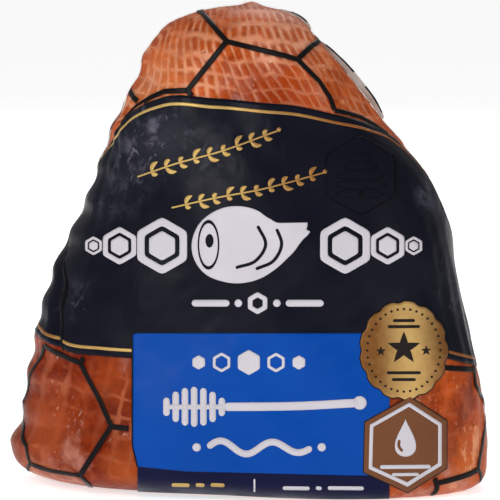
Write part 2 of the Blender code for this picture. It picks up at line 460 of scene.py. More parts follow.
TINTS = (     # place, reach, strength and colour
    ((0.016, -0.045, 0.196), 0.042, 0.88, (136, 42, 5)),
    ((-0.054, -0.035, 0.208), 0.034, 0.6, (216, 136, 84)),
    ((-0.066, -0.055, 0.04), 0.022, 0.55, (84, 18, 4)),
    ((-0.07, -0.058, 0.06), 0.022, 0.4, (176, 80, 30)),
    ((-0.06, -0.058, 0.012), 0.02, 0.55, (184, 88, 36)),
    ((-0.104, -0.036, 0.03), 0.034, 0.55, (176, 84, 44)),
    ((0.108, -0.045, 0.012), 0.03, 0.55, (226, 136, 80)),
)
# Pale milky patches of the film, laid in the rind's colour; the first, on the crown, is a painted
# highlight.
MILK_AND_SHEEN_SPOTS = (     # place, reach and strength
    ((0.016, -0.034, 0.231), 0.022, 0.7), ((-0.036, -0.036, 0.226), 0.014, 0.6),
    ((-0.054, -0.026, 0.204), 0.012, 0.5), ((-0.013, -0.045, 0.207), 0.009, 0.6),
    ((-0.085, -0.044, 0.021), 0.0072, 0.62), ((-0.094, -0.04, 0.012), 0.005, 0.45),
    ((-0.102, -0.02, 0.004), 0.013, 0.95), ((-0.088, -0.033, 0.003), 0.011, 0.95),
    ((0.1, -0.048, 0.003), 0.014, 0.9), ((0.082, -0.055, 0.001), 0.01, 0.95),
)
rind = Look("smoked_rind", Roughness=0.5, Coat_Weight=0.09, Coat_Roughness=0.1,
            Specular_IOR_Level=0.04)
axes = rind.node("SeparateXYZ", {0: rind.place})
# High runs from below the band to above it: the rind's tones are darker towards the bottom and lighter
# above.
high = rind.stepped(axes[2], 0.07, 0.19)
crown = rind.stepped(axes[2], 0.219, 0.238)
rightward = rind.stepped(axes[0], 0, 0.08)

net = rind.shaken(rind.node("UVMap", {}, uv_map="pattern")[0], 0.62, 90, 3)
net_axes = rind.node("SeparateXYZ", {0: net})
strand = rind.math("PINGPONG", net_axes[0], 0.5)
rung = rind.math("PINGPONG", net_axes[1], 0.5)
softness = rind.stepped(rind.cloud(44), 0.36, 0.64, 0.15, 0.36)
softness = rind.math("MULTIPLY_ADD", crown, 0.16, softness)
web = rind.stepped(rind.math("MINIMUM", strand, rung), 0.08, 0.3, 1, 0.22)
web = rind.node("Mix", {0: high, 2: 1, 3: web})[0]
strand = rind.stepped(strand, 0.03, softness, 1, 0)
rung = rind.stepped(rung, 0.01, rind.times(softness, 0.75), 1, 0)
rung = rind.times(rung, rind.stepped(rind.cloud(105), 0.32, 0.56, 0.1, 1))
strand = rind.times(strand, rind.stepped(rind.cloud(80), 0.3, 0.58, 0.35, 1))
marks = rind.math("SUBTRACT", rind.math("ADD", strand, rung), rind.times(strand, rung))
worn = rind.stepped(rind.cloud(36, 3), 0.36, 0.64, 0.22, 1)
by_height = rind.node("MapRange", {"Value": high, "To Min": 0.62, "To Max": 0.72})[0]
by_side = rind.node("MapRange", {"Value": rightward, "To Min": 1, "To Max": 0.55})[0]
plain = rind.near((0.022, -0.045, 0.196), 0.006, 0.036, 0.32, 1)
bald = rind.near((-0.068, 0.005, 0.195), 0.006, 0.02, 0.15, 1)
marks = rind.times(marks, worn, by_height, by_side, plain, bald)

cells = rind.node("VectorMath", {0: net}, operation="FLOOR")[0]
cell_shade = rind.node("TexWhiteNoise", {"Vector": cells}, noise_dimensions="3D")[0]
shade = rind.math("MULTIPLY_ADD", rind.cloud(27, 6, 0.66), 2.6, -0.85)
shade = rind.math("ADD", shade, rind.math("MULTIPLY_ADD", cell_shade, 0.36, -0.18))
speckle = rind.stepped(rind.cloud(230, 4, 0.68), 0.36, 0.64, -0.24, 0.24)
shade = rind.math("ADD", shade, speckle, clamp=True)
dark_rind = rind.mixed(high, (96, 20, 3), (140, 50, 10))
tone = rind.mixed(shade, dark_rind, rind.mixed(high, (142, 52, 15), (196, 90, 34)))
for spot, spread, most, tint in TINTS:
    tone = rind.mixed(rind.near(spot, 0, spread, most), tone, tint)
orange = rind.mixed(rind.stepped(rind.cloud(55, 6, 0.72), 0.34, 0.66),
                    rind.mixed(high, (116, 36, 3), (128, 42, 8)),
                    rind.mixed(high, (202, 86, 20), (208, 98, 34)))
tone = rind.mixed(rind.times(rightward, 0.7), tone, orange)
streak = rind.cloud(95, 6, 0.74, rind.drawn((1, 1, 0.55)))
streak = rind.times(rind.stepped(streak, 0.54, 0.64, 0, 0.8), rightward)
tone = rind.mixed(streak, tone, (228, 156, 110))

# Milky film over the rind in patches and at the listed spots, with a painted highlight on the crown.
milk_and_sheen = rind.stepped(rind.cloud(17, 4, 0.62), 0.54, 0.8, 0, 0.4)
ragged = rind.shaken(rind.place, 0.034, 48, 5, 0.62)
for spot, spread, most in MILK_AND_SHEEN_SPOTS:
    near = rind.near(spot, spread * 0.6, spread * 1.3, most, 0, ragged)
    milk_and_sheen = rind.math("MAXIMUM", milk_and_sheen, near)
thin_haze = rind.stepped(rind.cloud(130, 4, 0.66), 0.38, 0.62, 0.4, 1)
milk_and_sheen = rind.times(milk_and_sheen, web, thin_haze)
tone = rind.mixed(milk_and_sheen, tone, rind.mixed(high, (186, 126, 108), (222, 162, 134)))
tone = rind.mixed(marks, tone, rind.mixed(high, (180, 100, 64), (226, 160, 120)))
# Painted glints: small white ticks in the rind's colour, where light catches the film's wrinkles.
glint = rind.cloud(560, 3, 0.7, rind.drawn((1, 1, 3), 0.7, "TEXTURE"))
glint = rind.stepped(glint, 0.6, 0.7, 0, 0.7)
glint_area = rind.math("MAXIMUM", rind.stepped(rind.cloud(48), 0.58, 0.68),
                       rind.near((-0.085, -0.045, 0.036), 0.003, 0.011, 0.8))
tone = rind.mixed(rind.times(glint, glint_area), tone, (236, 206, 184))
rind.drive("Base Color", tone)
relief = rind.math("MULTIPLY_ADD", marks, -0.5, 0.5)
rind.bump(rind.math("MULTIPLY_ADD", rind.cloud(420, 3), 0.25, relief), 0.4, 0.0005)
where = rind.stepped(rind.cloud(30), 0.46, 0.66, 0.12, 1)
rind.bump(rind.times(rind.cloud(170, 4, 0.62), where), 0.55, 0.0011, "Coat Normal")

ham = make_piece("ham", [patch_of(ham_points[:, :-1], True, crown_point, foot_middle, ham_pattern)],
                 rind)
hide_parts("vacuum_packed_ham")


# The clear film: one skin of glossy laminate, sucked tight on the ham and shrunk in hot water. It lies
# close nearly everywhere, and looks milky where it stands off the meat or where fat lies under it.

turn_grid, level_grid = all_round(441, 70, 84)
foot_middle, film_points = with_foot(film(turn_grid, level_grid))
crown_point = np.append(film_points[-1, :-1, :2].mean(axis=0), HEIGHT + 0.0018)

clear = Look("clear_film", Roughness=0.16, IOR=1.45, Base_Color=colour(232, 212, 200))
stretched = clear.drawn((1, 1, 0.35))
milk = clear.stepped(clear.cloud(60, 5, 0.68, stretched), 0.6, 0.88, 0, 0.24)
edge = clear.times(clear.node("LayerWeight", {"Blend": 0.08})["Fresnel"], 0.25)
clear.drive("Alpha", clear.math("MAXIMUM", milk, edge))
clear.bump(clear.cloud(160, 3, 0.6, stretched), 0.35, 0.0008)
skin = patch_of(film_points[:, :-1], True, crown_point, foot_middle)
make_piece("clear_film", [skin], clear)


# The loose fold: film that found nothing to shrink on at the right shoulder stands out as a thin
# double flap, with a small ear above it where the crown begins.

def flap(lowest, highest, rise, ripple, start):
    """A thin sheet that stands out of the film at the right end of the oval. Its width follows the
    root of a parabola from end to end, and its outer edge ripples to and fro."""
    height = np.linspace(lowest, highest, 60)[:, None]
    out = np.linspace(0, 1, 9)[None, :]
    share = (height - lowest) / (highest - lowest)
    width = rise * np.sqrt(np.clip(4 * share * (1 - share), 0, 1)) + 0.0003
    sway = ripple * out ** 1.5 * np.sin(tau * (height - lowest) / 0.013 + start)
    root = on_film(np.zeros_like(height), level_at(height), np.full_like(height, -0.0003))
    outward = np.array([0.96, -0.08, 0.27])
    points = root + (width * out)[..., None] * outward
    points[..., 1] += sway
    return points


loose = Look("loose_film", Roughness=0.3, IOR=1.45)
# One noise gives the folds' relief and a painted shade: the film is coloured darker where the folds lie
# low.
folds = loose.cloud(180, 3)
loose.drive("Base Color", loose.mixed(folds, (148, 128, 116), (206, 190, 180)))
loose.drive("Alpha", loose.stepped(loose.cloud(90, 3), 0.35, 0.7, 0.55, 0.85))
loose.bump(folds, 0.5, 0.0008)
shoulder_flap = flap(0.1835, 0.2225, 0.0036, 0.0007, 0.4)
ear = flap(0.2275, 0.238, 0.002, 0.0003, 1)
flaps = [patch_of(shoulder_flap), patch_of(ear)]
wall = make_piece("shoulder_flap", flaps, loose).modifiers.new("wall", "SOLIDIFY")
wall.thickness = 0.00016
wall.offset = 0


# The dark band: a broad field of dark blue ink printed on the inside of the film, all the way round
# the middle of the pack. It covers the ham completely, and its edges sweep up and down the sides.

BAND_TOP = np.array([
    (-180, 158), (-171.3, 166), (-166.5, 172.2), (-159.1, 180.2), (-150.9, 188.6),
    (-136.6, 195.3), (-106.9, 195.3), (-80, 193.5), (-56, 191.4), (-41.1, 188),
    (-23.6, 182.9), (-15.3, 178.3), (-9.3, 170.5), (-4, 162), (0, 158.5), (12, 163),
    (30, 172), (60, 184), (90, 187), (120, 184), (150, 172), (168, 161),
    (180, 158),
])
BAND_BOTTOM = np.array([
    (-180, 78), (-170.7, 76.2), (-161.9, 73.5), (-157.2, 71.9), (-155.3, 70.9), (-144.3, 69.6),
    (-135.1, 69.2), (-90, 69), (-24.2, 68.8), (-18.4, 66.1), (-6.9, 62.3), (0, 61),
    (20, 61), (45, 62), (90, 66), (135, 70), (180, 78),
])
BAND_LIFT = 0.00014
INK_THICKNESS = 0.00008
# Spots where light catches the film over the band, shown as painted sheen and glints in the ink's
# colour.
BAND_SHEEN_SPOTS = (     # place, reach and strength
    ((-0.046, -0.042, 0.178), 0.026, 1), ((-0.072, -0.035, 0.16), 0.034, 0.55),
    ((-0.092, -0.035, 0.1), 0.02, 0.4), ((-0.02, -0.045, 0.168), 0.03, 0.16),
    ((0.086, -0.03, 0.146), 0.018, 0.5), ((0.098, -0.03, 0.1), 0.026, 0.3),
)


def edge_height(edge, turn):
    """The height of a printed edge at an angle: a smooth curve through its measured points."""
    return MM * smooth_through(edge[:, 0], edge[:, 1], np.degrees(turned_from(turn, 0)))


def ink_look(name, tone, darker, roughness=0.34, creased=0.3, sheen_spots=()):
    """Ink under glossy film: the tone with a faint cloud of a darker one, gloss that varies in patches,
    and the small creases of the film in two sizes. At each sheen spot, given with its spread and
    strength, a painted sheen lies in the colour: soft pale patches crossed by pale lines of painted
    glint."""
    ink = Look(name, Specular_IOR_Level=0.07)
    shown = ink.mixed(ink.cloud(24, 3, 0.6), darker, tone)
    if sheen_spots:
        # Painted sheen: soft pale patches, and pale crossing lines of painted glints.
        pale = ink.stepped(ink.cloud(80, 4, 0.65), 0.46, 0.7, 0.05, 0.42)
        for lean, size in ((0.7, 170), (-0.9, 210)):
            crease_glint = ink.cloud(size, 3, 0.6, ink.drawn((0.7, 1, 3.2), lean, "TEXTURE"))
            pale = ink.math("MAXIMUM", pale, ink.stepped(crease_glint, 0.58, 0.74, 0, 0.62))
    for spot, spread, most in sheen_spots:
        near = ink.math("MULTIPLY", ink.near(spot, 0, spread, most), pale, clamp=True)
        shown = ink.mixed(near, shown, (150, 148, 166))
    ink.drive("Base Color", shown)
    gloss = ink.stepped(ink.cloud(60, 3), 0.3, 0.7, roughness - 0.08, roughness + 0.1)
    ink.drive("Roughness", gloss)
    broad = ink.cloud(120, 3, 0.6, ink.drawn((1, 1, 0.35), 0.5))
    broad = ink.times(broad, ink.stepped(ink.cloud(26), 0.44, 0.66, 0.15, 1))
    ink.bump(ink.math("MULTIPLY_ADD", ink.cloud(420), 0.1, broad), creased, 0.001)
    return ink


def printed(name, patches, ink):
    """A piece of ink on the film."""
    make_piece(name, patches, ink, INK_THICKNESS)


band_ink = ink_look("dark_blue_ink", (17, 18, 31), (12, 13, 22), 0.36, 0.45, BAND_SHEEN_SPOTS)
band_turns = np.linspace(-pi, pi, 521)[:-1]
band_low = edge_height(BAND_BOTTOM, band_turns)
band_high = edge_height(BAND_TOP, band_turns)
band_levels = level_at(band_low + np.linspace(0, 1, 84)[:, None] * (band_high - band_low))
printed("dark_band", [patch_of(on_film(band_turns, band_levels, BAND_LIFT), True)], band_ink)


# The pleat: at the left the film was folded over itself before it shrank. A near-black strip along
# the fold is a painted shadow: a dark line rising from the band's lower edge to the middle of its
# height.

def film_ribbon(turn, level, half, lift):
    """A ribbon on the film along a path of angles and levels. Each point of the path is moved sideways
    by up to half, square to the path, and the film's slopes turn that move into angle and level."""
    round_slope, high_slope = slopes(turn, level)
    along = np.gradient(turn)[:, None] * round_slope + np.gradient(level)[:, None] * high_slope
    normal = np.cross(round_slope, high_slope)
    side = unit(np.cross(along, normal))
    normal = normal / (normal ** 2).sum(axis=1)[:, None]
    move = (half * np.ones(len(turn)))[:, None] * np.linspace(-1, 1, 5)
    turns = turn[:, None] + move * (np.cross(side, high_slope) * normal).sum(axis=1)[:, None]
    levels = level[:, None] + move * (np.cross(round_slope, side) * normal).sum(axis=1)[:, None]
    levels = np.clip(levels, LOWEST + 0.001, HIGHEST - 0.001)
    return patch_of(on_film(turns, levels, lift))


share = np.linspace(0, 1, 60)
fold_height = 0.0705 + 0.0415 * share
fold_half = 0.0018 + 0.0016 * share + 0.0003 * np.cos(9 * share)
fold_half = fold_half * np.sin(pi * np.clip(share, 0.02, 0.97)) ** 0.5
fold_turn = pleat_at(fold_height) + (fold_half + 0.0006) / 0.1
fold = film_ribbon(fold_turn, level_at(fold_height), fold_half, 0.00034)
# The strip's near-black colour is a painted shadow of the fold.
printed("pleat_shadow", [fold], ink_look("fold_shade", (9, 9, 12), (5, 5, 7), 0.45))


# The border lines: two thin lines of gold ink that run round the pack just inside the band's edges.

BORDER_LIFT = 0.00026
BORDER_HALF = 0.00075
UPPER_INSET = 0.0042
LOWER_INSET = 0.0037


def gold_look(name, middle, reach, bright, dull):
    """Gold ink, whose tone goes from bright at one place across the pack to dull at a reach from it,
    and is dull at the pack's left edge too. This tone is painted light: the bright part is a painted
    sheen on the gold, and the dull left edge is painted shade."""
    gold = Look(name, Metallic=0.35, Roughness=0.42, Specular_IOR_Level=0.15)
    across = gold.node("SeparateXYZ", {0: gold.place})[0]
    away = gold.math("ABSOLUTE", gold.math("SUBTRACT", across, middle))
    share = gold.math("MULTIPLY_ADD", gold.cloud(260, 3), 0.5, gold.stepped(away, 0, reach))
    share = gold.math("SUBTRACT", share, 0.25, clamp=True)
    share = gold.math("MAXIMUM", share, gold.stepped(across, -0.102, -0.086, 0.9, 0))
    gold.drive("Base Color", gold.mixed(share, bright, dull))
    gold.bump(gold.cloud(420), 0.2, 0.0004)
    return gold


# The gold's painted sheen is brightest a little left of the middle of the front.
gold_ink = gold_look("gold_ink", -0.04, 0.11, (194, 162, 96), (140, 80, 36))
border_turns = np.linspace(-pi, pi, 721)[:-1]
half_widths = BORDER_HALF * np.linspace(-1, 1, 4)[:, None]
upper = edge_height(BAND_TOP, border_turns)
steepness = np.gradient(upper) / (np.gradient(border_turns) * 0.075)
narrow = 1 - 0.65 * np.exp(-(turned_from(border_turns, radians(-172)) / 0.22) ** 2)
upper = upper + (half_widths - UPPER_INSET) * narrow * np.sqrt(1 + steepness ** 2)
lower = edge_height(BAND_BOTTOM, border_turns) + LOWER_INSET + half_widths
borders = [on_film(border_turns, level_at(edge), BORDER_LIFT) for edge in (upper, lower)]
printed("border_lines", [patch_of(border, True) for border in borders], gold_ink)


# The honeycomb: thin lines of black ink on the clear parts of the film, above and below the band. They
# make large six-sided cells with short open ends. The back has most of the front's lines mirrored,
# with lines of its own between them.

LINE_LIFT = 0.0002
LINE_HALF = 0.00135
THIN_HALF = 0.00085
FRONT_LINES = (     # as seen from the front: millimetres to the right and up in the view's plane
    ((-68.6, 28.7), (-83.9, 4.7), (-78.4, -1.2)),
    ((-23, 236.2), (-10.6, 221.7)),
    ((-10.6, 221.7), (7.4, 217.2), (17.9, 214.7), (24.9, 212.7)),
    ((24.9, 212.7), (32.4, 219.8)),
    ((24.9, 212.7), (35.9, 201.7), (41.4, 193.2), (43.4, 187.2)),
    ((-10.6, 221.7), (-30.1, 197.2), (-27.9, 194.4)),
    ((-30.1, 197.2), (-41.6, 196.7), (-48.6, 193.7), (-51.8, 191.6)),
    ((43.4, 187.2), (50.4, 185.7), (56.9, 183.7), (64.4, 179.7), (70, 175.6)),
)
SIDE_LINES = (      # angle round the pack and height in millimetres
    ((-164, 71.5), (-156, 68), (-150.1, 65.3), (-149.3, 68.1)),
    ((-150.1, 65.3), (-138.3, 35.6), (-132.9, 35.2)),
    ((-147.2, 10.1), (-156.6, 10.9), (-162.9, 12.9)),
    ((-164, 71.5), (-167.8, 61.5), (-171.1, 53.7), (-173.5, 41.4), (-173.9, 31.7), (-164.4, 21.3),
     (-162.9, 12.9)),
    ((-25.6, 64.6), (-12.5, 61.5)),
    ((-11.6, 63.4), (-13.2, 53.7), (-7, 46.4), (-4.3, 41.8), (-6.7, 29.4), (-11.6, 15.7),
     (-12.5, 12), (-9.1, 5)),
    ((-28, 10.6), (-27.2, 8.1), (-12.5, 12)),
    ((-27.2, 8.1), (-25.1, 1.4)),
    ((-149, 236.3), (-165, 236.9), (-180, 237), (-195, 236.9), (-211, 236.3)),
    ((-34.2, 220.8), (-24, 222.4), (-12, 223.3), (0, 223.6), (12, 223.3), (24, 222.4),
     (34.2, 220.8)),
)
THIN_LINES = (      # the same, where the printed line is thinner
    ((-162.9, 12.9), (-169, 7.2)),
    ((-173.5, 41.4), (-180, 40), (-187, 42)),
    ((-4.3, 41.8), (0, 42), (4.3, 41.8)),
)
SHOULDER_LINES = (      # only on the left shoulder: the first as wide as the others, the rest thinner
    ((-165.9, 197.6), (-159, 195.9), (-151.1, 193)),
    ((-146, 194), (-151.3, 190.6), (-155.5, 185.5), (-158.5, 182)),
    ((-168, 192), (-171, 182), (-173.5, 172), (-176, 163)),
)
BACK_LINES = (      # only on the back, where they close the cells
    ((146.3, 193.6), (152, 187), (156, 178), (158, 167.2)),
    ((14.4, 177.6), (13, 170), (13.6, 163.6)),
    ((132.9, 35.2), (112, 35), (101, 61), (99.5, 68.5)),
    ((112, 35), (101, 8), (99, 3)),
    ((101, 61), (78, 61.5), (66, 35), (78, 9), (101, 8)),
    ((66, 35), (46, 36), (36, 55), (33, 63.5)),
    ((46, 36), (36, 16), (28, 10.6)),
)
LINE_GROUPS = (     # lines, half their width, and whether the back has them mirrored
    (FRONT_LINES, LINE_HALF, True),
    (SIDE_LINES + BACK_LINES, LINE_HALF, True),
    (SHOULDER_LINES[:1], LINE_HALF, False),
    (SHOULDER_LINES[1:], THIN_HALF, False),
    (THIN_LINES, THIN_HALF, True),
)
ROUND_SCALE = np.array([1.4, 1])     # millimetres for a degree round the pack, and for one up it


def front_place(across, up):
    """The angle and level of the film that show at a place in the view's plane: steps of Newton's
    method, each from how the seen place moves for a small step round and for one of level."""
    across, up = np.broadcast_arrays(np.asarray(across, float), np.asarray(up, float))
    level = np.clip(up + 0.003, LOWEST + 0.004, HIGHEST - 0.012)
    height = height_at(level)
    left, right = reaches(height)[:2]
    half = 0.5 * (left + right) * left_over(height)
    ratio = np.clip((across - 0.5 * (right - left)) / np.maximum(half, 1e-3), -0.97, 0.97)
    turn = np.arctan2(-0.6 * (1 - np.abs(ratio) ** 2.3) ** (1 / 2.3), ratio)
    for step in range(16):
        here = seen(film(turn, level))
        by_turn = (seen(film(turn + 1e-4, level)) - here) / 1e-4
        by_level = (seen(film(turn, level + 1e-5)) - here) / 1e-5
        miss = np.stack([across, up], axis=-1) - here
        area = by_turn[..., 0] * by_level[..., 1] - by_turn[..., 1] * by_level[..., 0]
        area = np.where(np.abs(area) < 2e-3, 2e-3, area)
        turn_step = (miss[..., 0] * by_level[..., 1] - miss[..., 1] * by_level[..., 0]) / area
        level_step = (by_turn[..., 0] * miss[..., 1] - by_turn[..., 1] * miss[..., 0]) / area
        turn = np.clip(turn + np.clip(turn_step, -0.12, 0.12), -3.1, -0.04)
        level = np.clip(level + np.clip(level_step, -0.006, 0.006), LOWEST + 0.002, HIGHEST - 0.002)
    return turn, level


def runs_along(points):
    """How far along a path each of its points lies."""
    return np.concatenate([[0], np.cumsum(np.linalg.norm(np.diff(points, axis=0), axis=1))])


def evenly(points, spacing, smooth=False):
    """Points at an even spacing along the straight runs, or a smooth curve, through given points."""
    points = np.asarray(points, float)
    runs = runs_along(points)
    at = np.linspace(0, runs[-1], max(3, int(ceil(runs[-1] / spacing)) + 1))
    if smooth and len(points) > 2:
        return np.stack([smooth_through(runs, points[:, k], at) for k in (0, 1)], axis=-1)
    return np.stack([np.interp(at, runs, points[:, k]) for k in (0, 1)], axis=-1)


black_ink = ink_look("black_ink", (26, 21, 21), (13, 11, 13), 0.36)
honeycomb = []
for lines, half, mirrored in LINE_GROUPS:
    for line in lines:
        if lines is FRONT_LINES:
            turn, level = front_place(*(evenly(line, 1.2) * MM).T)
        else:
            spots = evenly(np.array(line) * ROUND_SCALE, 1.4) / ROUND_SCALE
            turn, level = np.radians(spots[:, 0]), level_at(spots[:, 1] * MM)
        honeycomb.append(film_ribbon(turn, level, half, LINE_LIFT))
        if mirrored and np.sin(turn[[0, -1]]).max() < 0:
            honeycomb.append(film_ribbon(-turn, level, half, LINE_LIFT))
printed("honeycomb_lines", honeycomb, black_ink)
edges = [shoulder_flap[4:24, 6:], shoulder_flap[34:56, 6:], ear[20:50, 5:]]
make_piece("flap_edges", [patch_of(edge + 0.0002 * np.array([0.2, -1, 0.3])) for edge in edges],
           black_ink, 0.0004)


# The blue panel: a bright field of blue ink low on the front, over the band's lower edge, with a thin
# dark line down its left side and a strip of dark blue below it that goes down to the foot.

PANEL_LEFT = np.array([(-55.1, 9.2), (-57.6, 19.7), (-57.6, 75.7)])    # as FRONT_LINES
PANEL_FOOT = np.array([(-55.1, 9.2), (-30.6, 6.7), (11.4, 5.7), (51.4, 4.7), (70.9, 4.7)])
PANEL_TOP = 75.8
CORNER_ROUNDING = 1.8
PANEL_LIFT = 0.00028
STRIP_LIFT = 0.0002

foot_across, foot_up = (np.interp(np.linspace(-55.1, 70.9, 108), PANEL_FOOT[:, 0], PANEL_FOOT[:, k])
                        for k in (0, 1))
panel_up = foot_up + np.linspace(0, 1, 66)[:, None] * (PANEL_TOP - foot_up)
panel_start = np.interp(panel_up, PANEL_LEFT[:, 1], PANEL_LEFT[:, 0])
corner = np.clip((panel_up - PANEL_TOP) / CORNER_ROUNDING + 1, 0, 1)
panel_start = panel_start + CORNER_ROUNDING * (1 - np.sqrt(1 - corner ** 2))
panel_across = panel_start + np.linspace(0, 1, 108) * (foot_across[-1] - panel_start)
panel_turn, panel_level = front_place(panel_across * MM, panel_up * MM)
panel = patch_of(on_film(panel_turn, panel_level, PANEL_LIFT))
printed("blue_panel", [panel], ink_look("blue_ink", (4, 71, 161), (3, 62, 146), 0.36))

strip_foot = LOWEST + 0.0052
strip_level = strip_foot + np.linspace(0, 1, 16)[:, None] * (panel_level[0] + 0.0006 - strip_foot)
strip_turn = panel_turn[0] + np.zeros(strip_level.shape)
for step in range(8):
    here = seen(film(strip_turn, strip_level))[..., 0]
    by_turn = (seen(film(strip_turn + 1e-4, strip_level))[..., 0] - here) / 1e-4
    strip_turn = strip_turn + (panel_across[0] * MM - here) / by_turn
strip = patch_of(on_film(strip_turn, strip_level, STRIP_LIFT))
printed("foot_strip", [strip], ink_look("deep_blue_ink", (17, 20, 56), (12, 14, 42), 0.36))

keyline = film_ribbon(panel_turn[:-2, 0], panel_level[:-2, 0], 0.0004, PANEL_LIFT + 0.0001)
printed("panel_keyline", [keyline], black_ink)


# The gold rosette: a scalloped disc of gold ink over the panel's right corner and the band's edge, with
# a thin dark edge, a ring of dots, three plain stars and four short bars.

ROSETTE = (77.9, 67.2)
ROSETTE_HALF = (21.6, 24.2)


def stroke(points, half, ends="round", spacing=0.8):
    """A flat brush stroke through points: its half width closes at both ends as a half circle does, or
    it runs out as a leaf does, by the sine of the share of its length."""
    path = evenly(points, spacing, True)
    runs = runs_along(path)
    if ends == "leaf":
        wide = half * np.sin(pi * runs / runs[-1]) ** 0.8
    else:
        extra = np.array([0, 0.13, 0.5, 1]) * half
        inner = runs[(runs > half) & (runs < runs[-1] - half)]
        at = np.unique(np.concatenate([extra, runs[-1] - extra, inner]))
        path = np.stack([np.interp(at, runs, path[:, k]) for k in (0, 1)], axis=-1)
        near = np.clip(np.minimum(at, at[-1] - at) / half, 0, 1)
        wide = half * np.sqrt(1 - (1 - near) ** 2)
    wide = np.maximum(wide, 0.02)
    along = unit(np.gradient(path, axis=0))
    side = np.stack([along[:, 1], -along[:, 0]], axis=-1)
    steps = np.linspace(-1, 1, max(3, 2 * int(round(half / 1.2)) + 1))
    return path[:, None] + side[:, None] * (wide[:, None] * steps)[..., None], None


def bar(start, end, up, half):
    """A level stroke from start to end."""
    return stroke(((start, up), (end, up)), half)


def disc(outline, hole=0):
    """A flat field inside an outline that runs round its middle to the left: rings of the outline
    drawn towards the middle, down to a point, or to a hole of a share of its size."""
    outline = np.asarray(outline, float)
    middle = 0.5 * (outline.max(axis=0) + outline.min(axis=0))
    size = np.linalg.norm(outline - middle, axis=1).max() * (1 - hole)
    rings = np.linspace(1, hole, max(2, int(ceil(size / 1.3)) + 1))
    if not hole:
        rings = rings[:-1]
    grid = middle + rings[:, None, None] * (outline - middle)
    return np.concatenate([grid, grid[:, :1]], axis=1), (None if hole else middle)


def round_outline(middle, wide, count=48, tall=None):
    """An outline about a middle: wide times the cosine across and tall times the sine up. Each is one
    number or one for each angle, and they are equal where tall is left out."""
    angle = np.linspace(0, tau, count, endpoint=False)
    tall = wide if tall is None else tall
    return np.stack([middle[0] + wide * np.cos(angle), middle[1] + tall * np.sin(angle)], axis=-1)


def oval(middle, wide, count=20, tall=None, hole=0):
    """A flat oval field, or a ring where it has a hole."""
    return disc(round_outline(middle, wide, count, tall), hole)


def cell(middle, reach, hole=0):
    """A flat six-sided field with a corner on top: the reach times cos 30 degrees, over the cosine of
    the angle from the middle of the nearest side."""
    angle = np.linspace(0, tau, 48, endpoint=False)
    from_side = (angle + pi / 6) % (pi / 3) - pi / 6
    return disc(round_outline(middle, np.minimum(0.866 / np.cos(from_side), 0.97) * reach), hole)


def wrap(flat, lift, back=False):
    """Flat shapes, in millimetres of the view's plane, as patches on the film: every point goes to the
    place where it is seen, or to the same place on the back, and is lifted off the film."""
    spots = [np.concatenate([grid.reshape(-1, 2)] + ([] if middle is None else [middle[None]]))
             for grid, middle in flat]
    turn, level = front_place(*(np.concatenate(spots).T * MM))
    wrapped = on_film(-turn if back else turn, level, lift)
    patches = []
    start = 0
    for grid, middle in flat:
        end = start + grid[..., 0].size
        points = wrapped[start:end].reshape(*grid.shape[:2], 3)
        points = points[:, ::-1] if back else points
        closed = np.allclose(grid[:, 0], grid[:, -1])
        points = points[:, :-1] if closed else points
        patches.append(patch_of(points, closed, None if middle is None else wrapped[end]))
        start = end + (middle is not None)
    return patches


scallops = np.linspace(0, tau, 144, endpoint=False)
scallops = 1 + 0.022 * np.cos(13 * scallops) - 0.008 * np.cos(26 * scallops)
rosette_edge = round_outline(ROSETTE, ROSETTE_HALF[0] * scallops, 144, ROSETTE_HALF[1] * scallops)
# The rosette's gold carries a painted sheen: a bright streak down its middle, duller to the sides.
rosette_gold = gold_look("rosette_gold", 0.079, 0.019, (190, 154, 94), (122, 78, 36))
printed("rosette", wrap([disc(rosette_edge)], 0.00044), rosette_gold)
rosette_rim = ROSETTE + 1.022 * (rosette_edge - ROSETTE)
printed("rosette_edge", wrap([disc(rosette_rim)], 0.00036), black_ink)

marks = [oval(spot, 0.62, 12) for spot in round_outline(ROSETTE, 18.2, 36, 20.6)]
star_angle = np.linspace(0, tau, 60, endpoint=False)
point_share = np.abs(((star_angle - pi / 2) / (tau / 5)) % 1 - 0.5) * 2
star_reach = 1 / (1 + 1.5 * (1 - point_share))
for spot, reach in (((77.9, 68.2), 8.4), ((66.5, 66.8), 2.6), ((89, 67), 2.6)):
    marks.append(oval(spot, star_reach * reach, 60))
for up, half_long in ((82, 5.5), (79, 8), (56, 8.5), (52.6, 6)):
    marks.append(bar(77.9 - half_long, 77.9 + half_long, up, 0.75))
rosette_ink = ink_look("rosette_ink", (40, 32, 30), (26, 20, 20), 0.4)
printed("rosette_marks", wrap(marks, 0.00056), rosette_ink)


# The brown badge: a six-sided field of flat brown ink below the rosette, over the panel's right edge,
# with a thin dark edge, and with an inner line, a drop of honey and two bars in white.

BADGE = ((81, 44), (58.6, 31.4), (57.9, 6.4), (79.9, -3.6), (99.2, 8.4), (99.2, 32.2))


def polygon(corners, spacing=1.2):
    """An outline of straight sides between corners, with points at an even spacing."""
    ends = zip(corners, corners[1:] + corners[:1])
    sides = [np.linspace(one, two, max(2, int(dist(one, two) / spacing)), endpoint=False)
             for one, two in ends]
    return np.concatenate(sides)


badge_middle = np.array([78.6, 20.2])
badge_edge = polygon(BADGE)
badge_brown = ink_look("badge_brown", (116, 74, 48), (102, 62, 40), 0.42)
printed("badge", wrap([disc(badge_edge)], 0.00048), badge_brown)
badge_rim = badge_middle + 1.022 * (badge_edge - badge_middle)
printed("badge_rim", wrap([disc(badge_rim)], 0.0004), rosette_ink)

